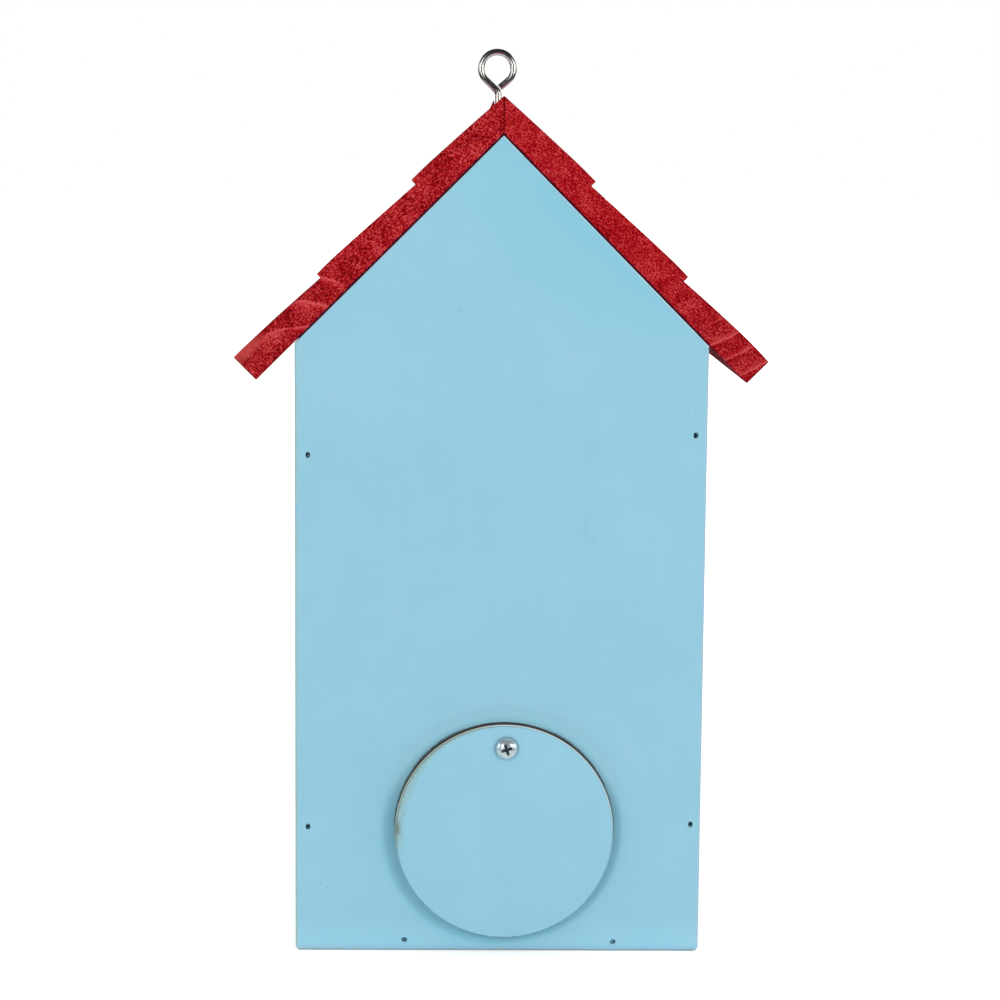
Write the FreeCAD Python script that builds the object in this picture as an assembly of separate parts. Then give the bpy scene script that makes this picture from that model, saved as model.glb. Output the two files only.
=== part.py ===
# Hanging birdhouse: a tall gabled box of 8 mm boards with a stepped two-board roof,
# a screw eye at the ridge, an entrance hole and perch in front, and a round
# clean-out hatch that swivels on one screw at the back.
#
# Millimetres.  +Z up, -Y out of the front (entrance side), +Y out of the back
# (hatch side), +X to the right as seen from the front.  The origin is the centre
# of the body's footprint, on the plane the body stands on.
import FreeCAD, Part
import math
import os

V = FreeCAD.Vector
os.makedirs("parts", exist_ok=True)

# ---------------------------------------------------------------- dimensions
BODY_W = 130.0          # width across the front and back panels
BODY_D = 112.0          # depth over the front and back panels
BOARD = 8.0             # thickness of every body board
EAVE_H = 196.0          # height of the panels where the gable begins
APEX_H = EAVE_H + BODY_W / 2.0      # 45 degree gable
EDGE_R = 0.8            # sanded edge of the panels' outer faces
FOOT_R = 1.6            # sanded lower corners of the body
SEAM = 0.25             # small break on the side walls' vertical edges

ROOF_GAP = 0.22         # glue line between the gable edge and the roof board
MITRE_GAP = 0.10        # each board's share of the joint at the ridge
ROOF_FRONT = -82.0      # front end of the roof, 26 mm beyond the front panel
ROOF_BACK = BODY_D / 2.0 - 0.15     # back end, level with the back panel
# outline of one roof board: (distance down the slope, height off the underside)
ROOF_LEN = 108.9
ROOF_STEPS = (30.5, 72.0)           # lower ends of the first two courses
COURSE_THIN = 8.15      # thickness just below a step
COURSE_THICK = 10.10    # thickness at a course's lower end
EAVE_THICK = {1: 9.95, -1: 9.6}     # thickness at the eave, right and left board
RIDGE_THICK = 8.3       # thickness at the ridge joint
# each course's top is crowned: (share of its length, height off the straight line
# between its ends) where the crown is highest, for the right and the left board
CROWNS = {1: ((0.75, 0.28), (0.78, 0.36), (0.85, 0.24)),
          -1: ((0.75, 0.28), (0.78, 0.36), (0.68, 0.56))}

ENTRY_R = 16.0          # entrance hole
ENTRY_Z = 160.5
PERCH_R = 4.0           # perch dowel
PERCH_Z = 126.5
PERCH_OUT = 30.0        # how far the perch stands out

HATCH_R = 35.0          # clean-out hatch disc
HATCH_T = 4.0
HATCH_X, HATCH_Z = -1.9, 40.5
PIVOT_X, PIVOT_Z = -2.5, 67.8
CLEAN_R = 22.5          # clean-out hole that the hatch covers
CLEAN_X, CLEAN_Z = -1.9, 39.5
HATCH_STANDOFF = 0.20   # disc to panel
HEAD_GAP = 0.12         # screw head to disc
PIVOT_HOLE_R = 1.83
SCREW_R = 1.75          # 3.5 mm pan-head wood screw
SCREW_CORE_R = 1.20
SCREW_LEN = 11.6        # below the head
HEAD_R = 3.5
HEAD_H = 2.3
CROSS_TURN = 18.0       # how far the driver left the cross turned

WIRE_R = 1.10           # screw eye, bent from 2.2 mm wire
EYE_X, EYE_Y = 0.63, -13.0          # where its shank enters the ridge
EYE_CX = 1.06           # centre of the loop
EYE_CZ = 283.5
EYE_R = 5.40            # loop radius at the wire's centre line
EYE_NECK_Z = 275.7      # where the shank's line meets the rising leg
EYE_NECK_R = 3.0        # bend between them
EYE_END_X, EYE_END_Z = 0.18, 277.19     # cut end of the wire, just clear of the neck
EYE_TIP_Z = 261.9       # point of the screw, just above the attic

BRAD_A, BRAD_B = 1.25, 1.00         # brad shank, 18 gauge
BRAD_HEAD_A, BRAD_HEAD_B, BRAD_HEAD_T = 2.0, 1.25, 0.5
BRAD_SINK = 0.7

HW, HD = BODY_W / 2.0, BODY_D / 2.0
IN_X, IN_Y = HW - BOARD, HD - BOARD


# ------------------------------------------------------------------- helpers
def prism_xz(points, y0, y1):
    """Closed outline in X and Z, extruded from y0 to y1."""
    wire = Part.makePolygon([V(x, y0, z) for x, z in points + points[:1]])
    return Part.Face(wire).extrude(V(0, y1 - y0, 0))


def on_plane(edge, axis, value, tol=1e-4):
    box = edge.BoundBox
    lo, hi = {"x": (box.XMin, box.XMax), "y": (box.YMin, box.YMax),
              "z": (box.ZMin, box.ZMax)}[axis]
    return abs(lo - value) < tol and abs(hi - value) < tol


def along(edge, axis, tol=1e-4):
    box = edge.BoundBox
    size = {"x": box.XLength, "y": box.YLength, "z": box.ZLength}
    long_side = size.pop(axis)
    return long_side > tol and max(size.values()) < tol


def save(name, *solids):
    shape = solids[0] if len(solids) == 1 else Part.makeCompound(list(solids))
    for s in shape.Solids:
        if not s.isValid() or s.Volume <= 0:
            raise SystemExit("bad solid in " + name)
    shape.exportStep("parts/%s.step" % name)
    box = shape.BoundBox
    print("%-18s %d solid(s)  %7.1f mm3  x %.1f..%.1f  y %.1f..%.1f  z %.1f..%.1f" % (
        name, len(shape.Solids), shape.Volume, box.XMin, box.XMax,
        box.YMin, box.YMax, box.ZMin, box.ZMax))


def placed(solid, matrix):
    out = solid.copy()
    out.Placement = FreeCAD.Placement(matrix).multiply(out.Placement)
    return out.Solids[0]


def frame_at(point, direction, long_axis):
    """Matrix whose Z runs along direction and X along the head's long side."""
    d = V(*direction).normalize()
    a = V(*long_axis)
    a = (a - d * a.dot(d)).normalize()
    b = d.cross(a)
    return FreeCAD.Matrix(a.x, b.x, d.x, point[0], a.y, b.y, d.y, point[1],
                          a.z, b.z, d.z, point[2], 0, 0, 0, 1)


# --------------------------------------------------------------------- brads
def brad(point, direction, long_axis, length=25.0, sink=BRAD_SINK):
    """A T-headed brad driven at point (on the surface) along direction, its
    head sunk below the surface; long_axis is the head's long side."""
    m = frame_at(point, direction, long_axis)
    head = Part.makeBox(BRAD_HEAD_A, BRAD_HEAD_B, BRAD_HEAD_T,
                        V(-BRAD_HEAD_A / 2, -BRAD_HEAD_B / 2, sink))
    head = head.makeChamfer(0.12, [e for e in head.Edges if on_plane(e, "z", sink)])
    shank = Part.makeBox(BRAD_A, BRAD_B, length - 1.5,
                         V(-BRAD_A / 2, -BRAD_B / 2, sink + BRAD_HEAD_T - 0.01))
    z1 = sink + BRAD_HEAD_T - 0.01 + length - 1.5
    lower = Part.makePolygon([V(-BRAD_A / 2, -BRAD_B / 2, z1), V(BRAD_A / 2, -BRAD_B / 2, z1),
                              V(BRAD_A / 2, BRAD_B / 2, z1), V(-BRAD_A / 2, BRAD_B / 2, z1),
                              V(-BRAD_A / 2, -BRAD_B / 2, z1)])
    t = 0.08
    upper = Part.makePolygon([V(-BRAD_A / 2, -t, z1 + 1.5), V(BRAD_A / 2, -t, z1 + 1.5),
                              V(BRAD_A / 2, t, z1 + 1.5), V(-BRAD_A / 2, t, z1 + 1.5),
                              V(-BRAD_A / 2, -t, z1 + 1.5)])
    tip = Part.makeLoft([lower, upper], True, True)
    solid = head.fuse(shank).fuse(tip).removeSplitter()
    return placed(solid, m)


def brad_pit(point, direction, long_axis, sink=BRAD_SINK):
    """The ragged slot that the sunk head leaves above itself."""
    m = frame_at(point, direction, long_axis)
    half, r = 0.22, 0.73
    box = Part.makeBox(2 * half, 2 * r, sink + 0.5, V(-half, -r, -0.5))
    c1 = Part.makeCylinder(r, sink + 0.5, V(-half, 0, -0.5))
    c2 = Part.makeCylinder(r, sink + 0.5, V(half, 0, -0.5))
    return placed(box.fuse(c1).fuse(c2).removeSplitter(), m)


# brads in the back and front panels: (x, z, direction of the head's long side)
REAR_BRADS = [(60.8, 160.8, (0.15, 0, 1)), (60.9, 40.9, (0.1, 0, 1)),
              (-61.3, 167.8, (-0.2, 0, 1)), (-61.8, 42.1, (0, 0, 1)),
              (29.9, 3.6, (1, 0, 0.1)), (-37.4, 3.1, (1, 0, -0.4))]
FRONT_BRADS = [(60.9, 165.5, (0, 0, 1)), (61.0, 39.0, (-0.1, 0, 1)),
               (-61.1, 162.5, (0.1, 0, 1)), (-60.8, 42.5, (0, 0, 1)),
               (33.5, 3.9, (1, 0, 0)), (-31.0, 4.1, (1, 0, -0.1))]
# brads down through each roof board into the panels: (distance down the slope, y)
ROOF_BRADS = [(18.5, 52.2), (51.0, 51.8), (84.5, 52.1), (19.5, -51.7), (50.0, -52.3), (85.5, -52.0)]


# -------------------------------------------------------- front and back panel
def gable_panel(y_out, y_in):
    pts = [(-HW, 0.0), (HW, 0.0), (HW, EAVE_H), (0.0, APEX_H), (-HW, EAVE_H)]
    y0, y1 = min(y_out, y_in), max(y_out, y_in)
    panel = prism_xz(pts, y0, y1)
    feet = [e for e in panel.Edges if along(e, "y") and e.BoundBox.ZMax < 1e-4]
    panel = panel.makeFillet(FOOT_R, feet)
    panel = panel.makeFillet(EDGE_R, [e for e in panel.Edges if on_plane(e, "y", y_out)])
    # a fine break where the panel meets the side walls
    seam = [e for e in panel.Edges if on_plane(e, "y", y_in) and along(e, "z")]
    return panel.makeChamfer(SEAM, seam)


def circle_edges(shape, radius, y):
    return [e for e in shape.Edges if isinstance(e.Curve, Part.Circle)
            and abs(e.Curve.Radius - radius) < 1e-3 and on_plane(e, "y", y)]


rear_brads = [brad((x, HD, z), (0, -1, 0), a) for x, z, a in REAR_BRADS]
front_brads = [brad((x, -HD, z), (0, 1, 0), a) for x, z, a in FRONT_BRADS]

back_panel = gable_panel(HD, IN_Y)
back_panel = back_panel.cut(Part.makeCylinder(CLEAN_R, BOARD + 2, V(CLEAN_X, IN_Y - 1, CLEAN_Z), V(0, 1, 0)))
back_panel = back_panel.makeChamfer(0.3, circle_edges(back_panel, CLEAN_R, IN_Y))
for x, z, a in REAR_BRADS:
    back_panel = back_panel.cut(brad_pit((x, HD, z), (0, -1, 0), a))

front_panel = gable_panel(-HD, -IN_Y)
front_panel = front_panel.cut(Part.makeCylinder(ENTRY_R, BOARD + 2, V(0, -HD - 1, ENTRY_Z), V(0, 1, 0)))
front_panel = front_panel.makeFillet(1.0, circle_edges(front_panel, ENTRY_R, -HD))
front_panel = front_panel.cut(Part.makeCylinder(PERCH_R + 0.05, BOARD + 2, V(0, -HD - 1, PERCH_Z), V(0, 1, 0)))
for x, z, a in FRONT_BRADS:
    front_panel = front_panel.cut(brad_pit((x, -HD, z), (0, 1, 0), a))


# ---------------------------------------------------------------- side walls
def side_wall(sign):
    pts = [(sign * IN_X, 0.0), (sign * HW, 0.0), (sign * HW, APEX_H - HW),
           (sign * IN_X, APEX_H - IN_X)]
    wall = prism_xz(pts, -IN_Y, IN_Y)
    foot = [e for e in wall.Edges if along(e, "y") and e.BoundBox.ZMax < 1e-4
            and abs(abs(e.BoundBox.XMin) - HW) < 1e-4]
    wall = wall.makeFillet(FOOT_R, foot)
    seams = [e for e in wall.Edges if along(e, "z") and abs(abs(e.BoundBox.XMin) - HW) < 1e-4]
    return wall.makeChamfer(SEAM, seams)


right_wall, left_wall = side_wall(1), side_wall(-1)

# --------------------------------------------------------------------- floor
floor = Part.makeBox(2 * IN_X, 2 * IN_Y, BOARD, V(-IN_X, -IN_Y, 0))
floor = floor.makeChamfer(0.3, [e for e in floor.Edges if on_plane(e, "z", 0.0)])

# --------------------------------------------------------------- roof boards
RIDGE_Z = APEX_H + ROOF_GAP * math.sqrt(2.0)     # where the undersides meet
C45 = math.sqrt(0.5)


def slope_point(s, n, sign):
    return sign * (s + n) * C45, RIDGE_Z + (n - s) * C45


def course_ends(sign):
    """(distance, thickness) at the upper and lower end of each of three courses."""
    m = MITRE_GAP * math.sqrt(2.0)
    return [((m - RIDGE_THICK, RIDGE_THICK), (ROOF_STEPS[0], COURSE_THICK)),
            ((ROOF_STEPS[0], COURSE_THIN), (ROOF_STEPS[1], COURSE_THICK)),
            ((ROOF_STEPS[1], COURSE_THIN), (ROOF_LEN, EAVE_THICK[sign]))]


def crown(sign, i):
    """The crowned top of course i: two arcs that meet level at the highest point.
    Gives (distance, thickness) at a share t of the course's length."""
    (s0, n0), (s1, n1) = course_ends(sign)[i]
    long = math.hypot(s1 - s0, n1 - n0)
    ux, un = (s1 - s0) / long, (n1 - n0) / long
    k, h = CROWNS[sign][i]

    def at(t):
        run = k * long if t <= k else (1 - k) * long
        radius = (run * run + h * h) / (2 * h)
        off = (t - k) * long
        up = h - radius + math.sqrt(radius * radius - off * off)
        return s0 + ux * t * long - un * up, n0 + un * t * long + ux * up
    return at, k


def roof_board(sign):
    def at(s, n):
        x, z = slope_point(s, n, sign)
        return V(x, ROOF_FRONT, z)

    def top_edges(i):
        f, k = crown(sign, i)
        return [Part.Arc(at(*f(0)), at(*f(k / 2)), at(*f(k))).toShape(),
                Part.Arc(at(*f(k)), at(*f((1 + k) / 2)), at(*f(1))).toShape()]

    ends = course_ends(sign)
    m = MITRE_GAP * math.sqrt(2.0)
    edges = [Part.makeLine(at(m, 0.0), at(ROOF_LEN, 0.0)),
             Part.makeLine(at(ROOF_LEN, 0.0), at(*ends[2][1]))]
    edges += top_edges(2) + [Part.makeLine(at(*ends[2][0]), at(*ends[1][1]))]
    edges += top_edges(1) + [Part.makeLine(at(*ends[1][0]), at(*ends[0][1]))]
    edges += top_edges(0) + [Part.makeLine(at(*ends[0][0]), at(m, 0.0))]
    wire = Part.Wire(Part.__sortEdges__(edges))
    board = Part.Face(wire).extrude(V(0, ROOF_BACK - ROOF_FRONT, 0))
    # soften the long edges at the eave and at the courses' lower ends
    soft = []
    for s, n in ((ROOF_LEN, 0.0), ends[2][1], ends[1][1], ends[0][1]):
        x, z = slope_point(s, n, sign)
        soft += [e for e in board.Edges if along(e, "y")
                 and abs(e.BoundBox.XMin - x) < 1e-3 and abs(e.BoundBox.ZMin - z) < 1e-3]
    board = board.makeFillet(0.40, soft)
    sawn = [e for e in board.Edges if on_plane(e, "y", ROOF_BACK) or on_plane(e, "y", ROOF_FRONT)]
    board = board.makeChamfer(0.12, sawn)
    return board.Solids[0]


def slope_top(s, sign):
    """Thickness of the board at s."""
    i = 0 if s <= ROOF_STEPS[0] else 1 if s <= ROOF_STEPS[1] else 2
    f, _ = crown(sign, i)
    pts = [f(j / 200.0) for j in range(201)]
    for p, q in zip(pts, pts[1:]):
        if p[0] <= s <= q[0]:
            return p[1] + (q[1] - p[1]) * (s - p[0]) / (q[0] - p[0])
    raise SystemExit("no course at %.1f" % s)


def roof_brad_set(sign):
    brads, pits = [], []
    down = (-sign * C45, 0.0, -C45)
    for s, y in ROOF_BRADS:
        x, z = slope_point(s, slope_top(s, sign), sign)
        brads.append(brad((x, y, z), down, (0, 1, 0), sink=0.45))
        pits.append(brad_pit((x, y, z), down, (0, 1, 0), sink=0.45))
    return brads, pits


# pilot hole of the screw eye, through the ridge joint
pilot = Part.makeCylinder(WIRE_R + 0.02, 30.0, V(EYE_X, EYE_Y, EYE_TIP_Z - 0.6))
roof_right, roof_left = roof_board(1).cut(pilot), roof_board(-1).cut(pilot)
right_brads, right_pits = roof_brad_set(1)
left_brads, left_pits = roof_brad_set(-1)
for pit in right_pits:
    roof_right = roof_right.cut(pit)
for pit in left_pits:
    roof_left = roof_left.cut(pit)

# --------------------------------------------------------------- perch dowel
perch = Part.makeCylinder(PERCH_R, PERCH_OUT + BOARD, V(0, -HD - PERCH_OUT, PERCH_Z), V(0, 1, 0))
perch = perch.makeFillet(0.9, circle_edges(perch, PERCH_R, -HD - PERCH_OUT))

# ---------------------------------------------------------------- hatch disc
y0 = HD + HATCH_STANDOFF
y1 = y0 + HATCH_T
hatch = Part.makeCylinder(HATCH_R, HATCH_T, V(HATCH_X, y0, HATCH_Z), V(0, 1, 0))
hatch = hatch.cut(Part.makeCylinder(PIVOT_HOLE_R, HATCH_T + 2, V(PIVOT_X, y0 - 1, PIVOT_Z), V(0, 1, 0)))
hatch = hatch.makeChamfer(0.18, circle_edges(hatch, HATCH_R, y0) + circle_edges(hatch, HATCH_R, y1))


# --------------------------------------------------------------- hatch screw
# Made upright in its own frame (head up, +Z), then turned to point out of the back.
def pan_head():
    """Domed pan head as a turned outline: flat bearing face, short side, dome."""
    p0, p1, p2 = V(0, 0, 0), V(HEAD_R - 0.15, 0, 0), V(HEAD_R, 0, 0.25)
    p3, p4 = V(HEAD_R, 0, 0.75), V(0, 0, HEAD_H)
    mid = V(HEAD_R * 0.70, 0, 0.75 + (HEAD_H - 0.75) * 0.76)
    edges = [Part.makeLine(p0, p1), Part.makeLine(p1, p2), Part.makeLine(p2, p3),
             Part.Arc(p3, mid, p4).toShape(), Part.makeLine(p4, p0)]
    return Part.Face(Part.Wire(edges)).revolve(V(0, 0, 0), V(0, 0, 1), 360)


def screw_body(r_shank, r_core, smooth, length, pitch):
    """Smooth neck, ringed thread and a pointed tip, going down from z = 0."""
    pts = [V(0, 0, 0.05), V(r_shank, 0, 0.05), V(r_shank, 0, -smooth)]
    z = -smooth - 0.35
    pts.append(V(r_core, 0, z))
    end = -length + 2.6
    while z - pitch > end:
        pts += [V(r_core, 0, z - pitch * 0.42), V(r_shank, 0, z - pitch * 0.66),
                V(r_core, 0, z - pitch * 0.92), V(r_core, 0, z - pitch)]
        z -= pitch
    pts += [V(r_core * 0.95, 0, end), V(0, 0, -length)]
    clean = [pts[0]]
    for p in pts[1:]:
        if p.distanceToPoint(clean[-1]) > 1e-6:
            clean.append(p)
    wire = Part.makePolygon(clean + [clean[0]])
    return Part.Face(wire).revolve(V(0, 0, 0), V(0, 0, 1), 360)


def cross_recess(width, span, depth, top):
    """A cross-shaped driver recess that narrows with depth."""
    out = None
    for turn in (0, 90):
        lower = [(-span * 0.42, -width * 0.30), (span * 0.42, -width * 0.30),
                 (span * 0.42, width * 0.30), (-span * 0.42, width * 0.30)]
        upper = [(-span, -width * 0.5), (span, -width * 0.5), (span, width * 0.5), (-span, width * 0.5)]
        w0 = Part.makePolygon([V(x, y, top - depth) for x, y in lower + lower[:1]])
        w1 = Part.makePolygon([V(x, y, top + 0.3) for x, y in upper + upper[:1]])
        arm = Part.makeLoft([w0, w1], True, True)
        arm.rotate(V(0, 0, 0), V(0, 0, 1), turn)
        out = arm if out is None else out.fuse(arm)
    cone = Part.makeCone(0.30, 0.78, depth + 0.5, V(0, 0, top - depth - 0.2))
    return out.fuse(cone)


HEAD_Y = y1 + HEAD_GAP               # where the head's bearing face stands
screw = pan_head().fuse(screw_body(SCREW_R, SCREW_CORE_R, HATCH_T + HATCH_STANDOFF + HEAD_GAP + 1.0, SCREW_LEN, 1.35))
screw = screw.cut(cross_recess(0.92, 2.20, 1.75, HEAD_H)).removeSplitter()
screw.rotate(V(0, 0, 0), V(0, 0, 1), CROSS_TURN)
screw.rotate(V(0, 0, 0), V(1, 0, 0), -90)
screw.translate(V(PIVOT_X, HEAD_Y, PIVOT_Z))

# its blind hole in the back panel
hole_end = HEAD_Y - SCREW_LEN + 1.2
screw_hole = Part.makeCylinder(SCREW_R + 0.02, HD - hole_end + 1, V(PIVOT_X, hole_end, PIVOT_Z), V(0, 1, 0)).fuse(
    Part.makeCone(SCREW_R + 0.02, 0.4, 1.4, V(PIVOT_X, hole_end, PIVOT_Z), V(0, -1, 0)))
back_panel = back_panel.cut(screw_hole)


# ----------------------------------------------------------------- screw eye
# The wire lies in the plane y = EYE_Y: up the shank, out to the +X side, round
# the loop over the top, and back down to end beside the shank.
def tangent_from(px, pz, side):
    """Where a line from (px, pz) touches the loop's centre line; side is +1 or -1."""
    dx, dz = px - EYE_CX, pz - EYE_CZ
    a = math.atan2(dz, dx) + side * math.acos(EYE_R / math.hypot(dx, dz))
    return EYE_CX + EYE_R * math.cos(a), EYE_CZ + EYE_R * math.sin(a), a


EYE_FOOT_Z = 271.7                  # the bent wire joins the threaded shank here
tx, tz, ta = max((tangent_from(EYE_X, EYE_NECK_Z, s) for s in (1, -1)), key=lambda t: t[0])
ex, ez, ea = min((tangent_from(EYE_END_X, EYE_END_Z, s) for s in (1, -1)), key=lambda t: t[0])
foot, corner, touch = V(EYE_X, EYE_Y, EYE_FOOT_Z), V(EYE_X, EYE_Y, EYE_NECK_Z), V(tx, EYE_Y, tz)
u, w = (foot - corner).normalize(), (touch - corner).normalize()
half = u.getAngle(w) / 2.0
run = EYE_NECK_R / math.tan(half)
p, q = corner + u * run, corner + w * run
centre = corner + (u + w).normalize() * (EYE_NECK_R / math.sin(half))
mid = centre + (corner - centre).normalize() * EYE_NECK_R
am = ta + ((ea - ta) % (2 * math.pi)) / 2.0
if math.sin(am) < 0:                # the loop goes over the top
    am += math.pi
top = V(EYE_CX + EYE_R * math.cos(am), EYE_Y, EYE_CZ + EYE_R * math.sin(am))
end, leave = V(EYE_END_X, EYE_Y, EYE_END_Z), V(ex, EYE_Y, ez)
path = Part.Wire([Part.makeLine(foot, p), Part.Arc(p, mid, q).toShape(), Part.makeLine(q, touch),
                  Part.Arc(touch, top, leave).toShape(), Part.makeLine(leave, end)])
section = Part.Wire([Part.makeCircle(WIRE_R, foot, V(0, 0, 1))])
eye = path.makePipeShell([section], True, False, 1).Solids[0]
if eye.Volume < 0:
    eye.reverse()
cut_end = [e for e in eye.Edges if isinstance(e.Curve, Part.Circle)
           and e.Curve.Center.distanceToPoint(end) < 1e-3]
eye = eye.makeFillet(0.10, cut_end)
shank = screw_body(WIRE_R, 0.80, 1.6, EYE_FOOT_Z - EYE_TIP_Z, 1.15)
shank.translate(foot)
eye = eye.fuse(shank).removeSplitter()

# ------------------------------------------------- the brads' holes in the boards
for b in rear_brads:
    back_panel, right_wall, left_wall, floor = [s.cut(b) for s in (back_panel, right_wall, left_wall, floor)]
for b in front_brads:
    front_panel, right_wall, left_wall, floor = [s.cut(b) for s in (front_panel, right_wall, left_wall, floor)]
for b in right_brads:
    roof_right, back_panel, front_panel = [s.cut(b) for s in (roof_right, back_panel, front_panel)]
for b in left_brads:
    roof_left, back_panel, front_panel = [s.cut(b) for s in (roof_left, back_panel, front_panel)]

# -------------------------------------------------------------------- output
save("back_panel", back_panel.Solids[0])
save("front_panel", front_panel.Solids[0])
save("right_side_wall", right_wall.Solids[0])
save("left_side_wall", left_wall.Solids[0])
save("floor_board", floor.Solids[0])
save("roof_board_right", roof_right.Solids[0])
save("roof_board_left", roof_left.Solids[0])
save("roof_brads_right", *right_brads)
save("roof_brads_left", *left_brads)
save("rear_brads", *rear_brads)
save("front_brads", *front_brads)
save("perch_dowel", perch.Solids[0])
save("hatch_disc", hatch.Solids[0])
save("hatch_screw", screw.Solids[0])
save("eye_screw", eye.Solids[0])
print("eye wire: bend radii %.2f and %.2f mm, path %.1f mm, volume %.1f mm3 against %.1f" % (
    EYE_NECK_R, EYE_R, path.Length, eye.Volume - shank.Volume, path.Length * math.pi * WIRE_R ** 2))
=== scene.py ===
"""Looks of the hanging birdhouse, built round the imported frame.

Every material is a node graph in the object's own coordinates, scaled to
millimetres, so the wood runs solidly through each board: rings on the sawn ends
are the same rings that show as long grain on the faces.
"""
import math
import random

import bmesh
import bpy
from mathutils import Matrix, Vector


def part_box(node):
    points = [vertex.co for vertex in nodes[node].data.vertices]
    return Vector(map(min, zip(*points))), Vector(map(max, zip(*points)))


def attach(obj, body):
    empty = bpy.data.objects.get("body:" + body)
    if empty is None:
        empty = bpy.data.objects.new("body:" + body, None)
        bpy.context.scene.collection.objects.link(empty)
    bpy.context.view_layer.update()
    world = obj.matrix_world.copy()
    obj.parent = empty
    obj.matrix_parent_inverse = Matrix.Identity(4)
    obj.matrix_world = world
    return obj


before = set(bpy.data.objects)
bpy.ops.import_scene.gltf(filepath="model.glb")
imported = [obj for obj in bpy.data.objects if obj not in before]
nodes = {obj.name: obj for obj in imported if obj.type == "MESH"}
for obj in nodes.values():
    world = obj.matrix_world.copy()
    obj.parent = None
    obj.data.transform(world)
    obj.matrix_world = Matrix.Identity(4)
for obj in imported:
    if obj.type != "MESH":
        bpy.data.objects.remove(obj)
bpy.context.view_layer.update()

# ------------------------------------------------------------ places, in mm
LIFT = Vector((0.0, 0.0, 0.5))                   # heights below are taken from 0.5 mm above the underside


def mm_box(name):
    lo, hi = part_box(name)
    return lo * 1000.0 - LIFT, hi * 1000.0 - LIFT


BACK_LO, BACK_HI = mm_box("back_panel")
FRONT_LO, FRONT_HI = mm_box("front_panel")
HW = BACK_HI.x                                   # half width of the body
APEX = BACK_HI.z                                 # top of the gable
Y_BACK, Y_BACK_IN = BACK_HI.y, BACK_LO.y
Y_FRONT, Y_FRONT_IN = FRONT_LO.y, FRONT_HI.y
DISC_LO, DISC_HI = mm_box("hatch_disc")
DISC_X, DISC_Z = (DISC_LO.x + DISC_HI.x) / 2, (DISC_LO.z + DISC_HI.z) / 2
DISC_R = (DISC_HI.x - DISC_LO.x) / 2
ROOF_LO, ROOF_HI = mm_box("roof_board_right")
EYE_LO, EYE_HI = mm_box("eye_screw")
SCREW_LO, SCREW_HI = mm_box("hatch_screw")
C45 = math.sqrt(0.5)
ROOF_LEN, STEP_1, STEP_2 = 108.9, 30.5, 72.0     # along the slope
# the three courses: start, end, thickness at each, and the crown's place and height
COURSES = {1: ((-8.2, 30.5, 8.3, 10.10, 0.75, 0.28), (30.5, 72.0, 8.15, 10.10, 0.78, 0.36),
               (72.0, 108.9, 8.15, 9.95, 0.85, 0.24)),
           -1: ((-8.2, 30.5, 8.3, 10.10, 0.75, 0.28), (30.5, 72.0, 8.15, 10.10, 0.78, 0.36),
                (72.0, 108.9, 8.15, 9.60, 0.68, 0.56))}
RIDGE_Z = ROOF_LO.z + ROOF_LEN * C45             # where the undersides meet


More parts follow.
